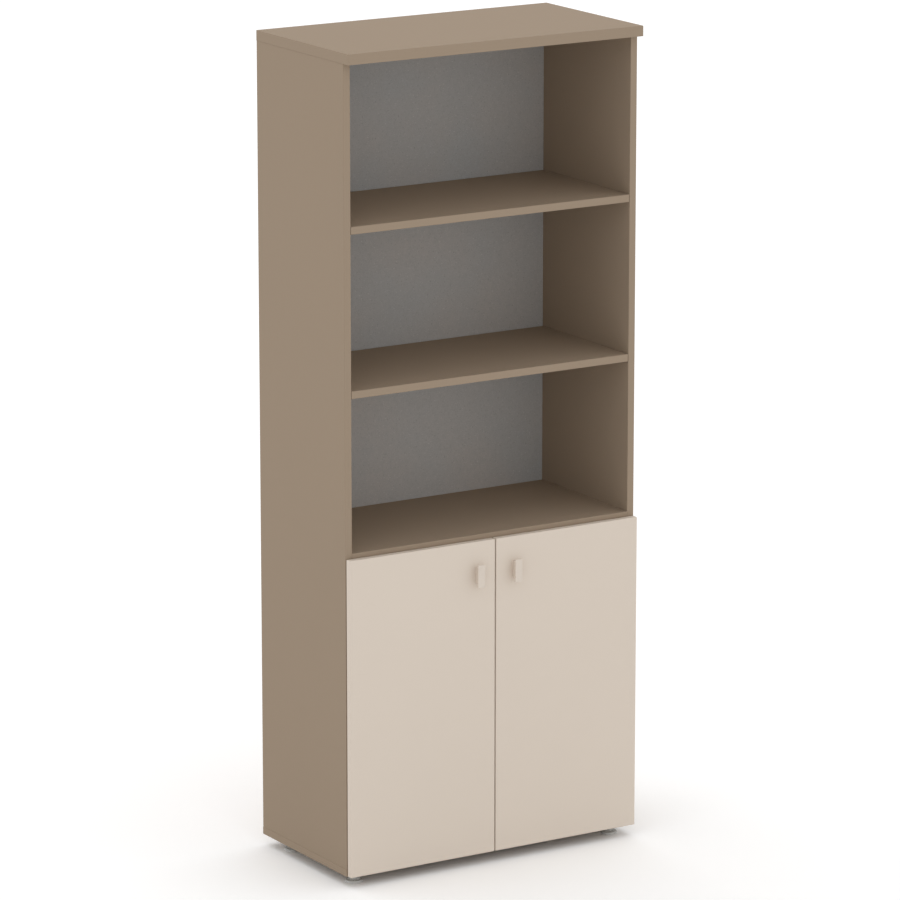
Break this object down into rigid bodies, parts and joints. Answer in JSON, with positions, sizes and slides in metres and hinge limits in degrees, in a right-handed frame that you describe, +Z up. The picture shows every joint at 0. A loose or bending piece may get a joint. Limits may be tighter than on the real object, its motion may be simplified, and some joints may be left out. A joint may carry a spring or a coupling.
{
  "type": "bookcase with cabinet doors",
  "caption": "Tall free-standing bookcase: open shelves above a cabinet with hinged doors, standing on levelling feet.",
  "frame": {"origin": "on the floor, at the centre of the footprint that runs from the handles' front to the case's rear edges", "axes": "+Z up, +X to the right of someone facing the doors, +Y towards the wall behind"},
  "size_m": [0.8, 0.433, 1.976],
  "materials": {
    "case_board": "taupe melamine-faced board, satin",
    "door_board": "cream melamine-faced board, satin",
    "back_board": "grey speckled hardboard, matt",
    "handle_plastic": "cream, satin",
    "foot_plastic": "light grey, matt",
    "cap_plastic": "taupe, matt",
    "buffer_rubber": "pale, soft",
    "plated_steel": "nickel plated, satin",
    "zinc": "die-cast zinc, dull",
    "dowel_wood": "beech, raw"
  },
  "bodies": {
    "carcass": {"top_panel": "case_board", "base_panel": "case_board", "left_side_panel": "case_board", "right_side_panel": "case_board", "back_panel": "back_board", "back_nails": "plated_steel", "fixed_shelf": "case_board", "upper_shelf_pins": "plated_steel", "middle_shelf_pins": "plated_steel", "cabinet_shelf_pins": "plated_steel", "cam_locks": "zinc", "cam_caps": "cap_plastic", "cam_bolts": "zinc", "dowels": "dowel_wood", "foot_inserts": "zinc", "left_hinge_arms": "plated_steel", "left_hinge_plates": "plated_steel", "left_plate_screws": "plated_steel", "left_arm_screws": "plated_steel", "right_hinge_arms": "plated_steel", "right_hinge_plates": "plated_steel", "right_plate_screws": "plated_steel", "right_arm_screws": "plated_steel"},
    "left_door": {"left_door_panel": "door_board", "left_door_buffers": "buffer_rubber", "left_handle": "handle_plastic", "left_handle_screws": "plated_steel", "left_hinge_cups": "plated_steel", "left_cup_screws": "plated_steel", "left_hinge_pins": "plated_steel"},
    "right_door": {"right_door_panel": "door_board", "right_door_buffers": "buffer_rubber", "right_handle": "handle_plastic", "right_handle_screws": "plated_steel", "right_hinge_cups": "plated_steel", "right_cup_screws": "plated_steel", "right_hinge_pins": "plated_steel"},
    "upper_shelf": {"upper_shelf": "case_board"},
    "middle_shelf": {"middle_shelf": "case_board"},
    "cabinet_shelf": {"cabinet_shelf": "case_board"},
    "front_left_foot": {"front_left_foot_pad": "foot_plastic", "front_left_foot_stud": "plated_steel"},
    "front_right_foot": {"front_right_foot_pad": "foot_plastic", "front_right_foot_stud": "plated_steel"},
    "rear_left_foot": {"rear_left_foot_pad": "foot_plastic", "rear_left_foot_stud": "plated_steel"},
    "rear_right_foot": {"rear_right_foot_pad": "foot_plastic", "rear_right_foot_stud": "plated_steel"}
  },
  "joints": [
    {"name": "left_door_hinge", "type": "hinge", "parent": "carcass", "child": "left_door", "pos_m": [-0.391, -0.1891, 0.411], "axis": [0, 0, -1], "range_deg": [0, 100]},
    {"name": "right_door_hinge", "type": "hinge", "parent": "carcass", "child": "right_door", "pos_m": [0.391, -0.1891, 0.411], "axis": [0, 0, 1], "range_deg": [0, 100]},
    {"name": "upper_shelf_lift", "type": "slide", "parent": "carcass", "child": "upper_shelf", "axis": [0, 0, 1], "range_m": [0, 0.03]},
    {"name": "middle_shelf_lift", "type": "slide", "parent": "carcass", "child": "middle_shelf", "axis": [0, 0, 1], "range_m": [0, 0.03]},
    {"name": "cabinet_shelf_lift", "type": "slide", "parent": "carcass", "child": "cabinet_shelf", "axis": [0, 0, 1], "range_m": [0, 0.03]},
    {"name": "front_left_foot_screw", "type": "slide", "parent": "carcass", "child": "front_left_foot", "axis": [0, 0, -1], "range_m": [-0.004, 0.006]},
    {"name": "front_right_foot_screw", "type": "slide", "parent": "carcass", "child": "front_right_foot", "axis": [0, 0, -1], "range_m": [-0.004, 0.006]},
    {"name": "rear_left_foot_screw", "type": "slide", "parent": "carcass", "child": "rear_left_foot", "axis": [0, 0, -1], "range_m": [-0.004, 0.006]},
    {"name": "rear_right_foot_screw", "type": "slide", "parent": "carcass", "child": "rear_right_foot", "axis": [0, 0, -1], "range_m": [-0.004, 0.006]}
  ]
}
